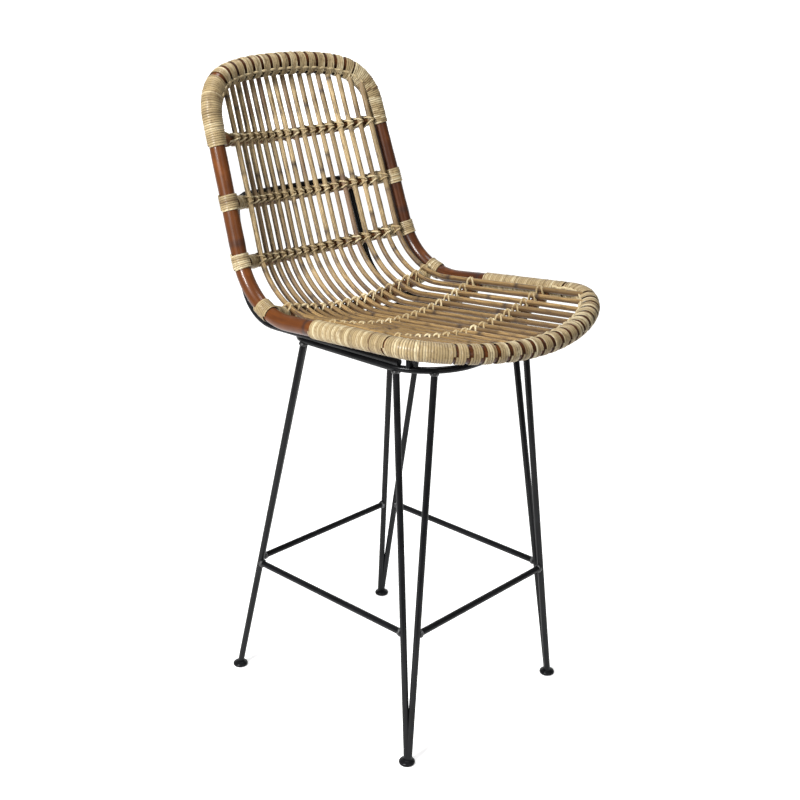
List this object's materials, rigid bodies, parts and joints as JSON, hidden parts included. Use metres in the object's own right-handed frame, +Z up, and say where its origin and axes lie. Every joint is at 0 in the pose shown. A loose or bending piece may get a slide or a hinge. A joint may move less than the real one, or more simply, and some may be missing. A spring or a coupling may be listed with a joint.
{
  "type": "bar stool with footrest",
  "caption": "Bar stool with a one-piece rattan pole and rod shell lashed with cane, on a welded black steel rod base with splayed leg pairs, button feet and a footrest.",
  "frame": {"origin": "on the floor under the middle of the stool", "axes": "+Z up; -Y is the front, where the sitter faces; +X is the right-hand side seen from the front edge looking back"},
  "size_m": [0.4618, 0.6283, 1.0965],
  "materials": {
    "rattan_pole": "reddish brown rattan pole under clear lacquer, darker at its nodes",
    "rattan_rail": "dark brown rattan, lacquered",
    "rattan_rod": "beige to grey-brown thin rattan with dark nodes, satin",
    "cane": "straw-coloured cane strands with brown edges, satin",
    "black_steel": "near-black satin powder coat over welded rod"
  },
  "bodies": {
    "root": {"back_hoop": "rattan_pole", "front_pole": "rattan_pole", "side_pole_left": "rattan_pole", "side_pole_right": "rattan_pole", "back_rail_top": "rattan_rail", "back_rail_middle": "rattan_rail", "back_rail_low": "rattan_rail", "bend_rail": "rattan_rail", "seat_rail_rear": "rattan_rail", "seat_rail_front": "rattan_rail", "rod_01": "rattan_rod", "rod_02": "rattan_rod", "rod_03": "rattan_rod", "rod_04": "rattan_rod", "rod_05": "rattan_rod", "rod_06": "rattan_rod", "rod_07": "rattan_rod", "rod_08": "rattan_rod", "rod_09": "rattan_rod", "rod_10": "rattan_rod", "rod_11": "rattan_rod", "rod_12": "rattan_rod", "rod_13": "rattan_rod", "rod_14": "rattan_rod", "rod_15": "rattan_rod", "rod_16": "rattan_rod", "rod_17": "rattan_rod", "top_wrap": "cane", "front_wrap": "cane", "corner_wrap_left": "cane", "side_wrap_left": "cane", "binding_left_1": "cane", "binding_left_2": "cane", "binding_left_3": "cane", "corner_wrap_right": "cane", "side_wrap_right": "cane", "binding_right_1": "cane", "binding_right_2": "cane", "binding_right_3": "cane", "seat_ring": "black_steel", "back_support": "black_steel", "tab_left": "black_steel", "tab_right": "black_steel", "leg_front_left_outer": "black_steel", "leg_front_left_inner": "black_steel", "foot_front_left": "black_steel", "leg_rear_left_outer": "black_steel", "leg_rear_left_inner": "black_steel", "foot_rear_left": "black_steel", "leg_front_right_outer": "black_steel", "leg_front_right_inner": "black_steel", "foot_front_right": "black_steel", "leg_rear_right_outer": "black_steel", "leg_rear_right_inner": "black_steel", "foot_rear_right": "black_steel", "footrest_left": "black_steel", "footrest_right": "black_steel", "footrest_front": "black_steel", "footrest_rear": "black_steel"}
  },
  "joints": []
}
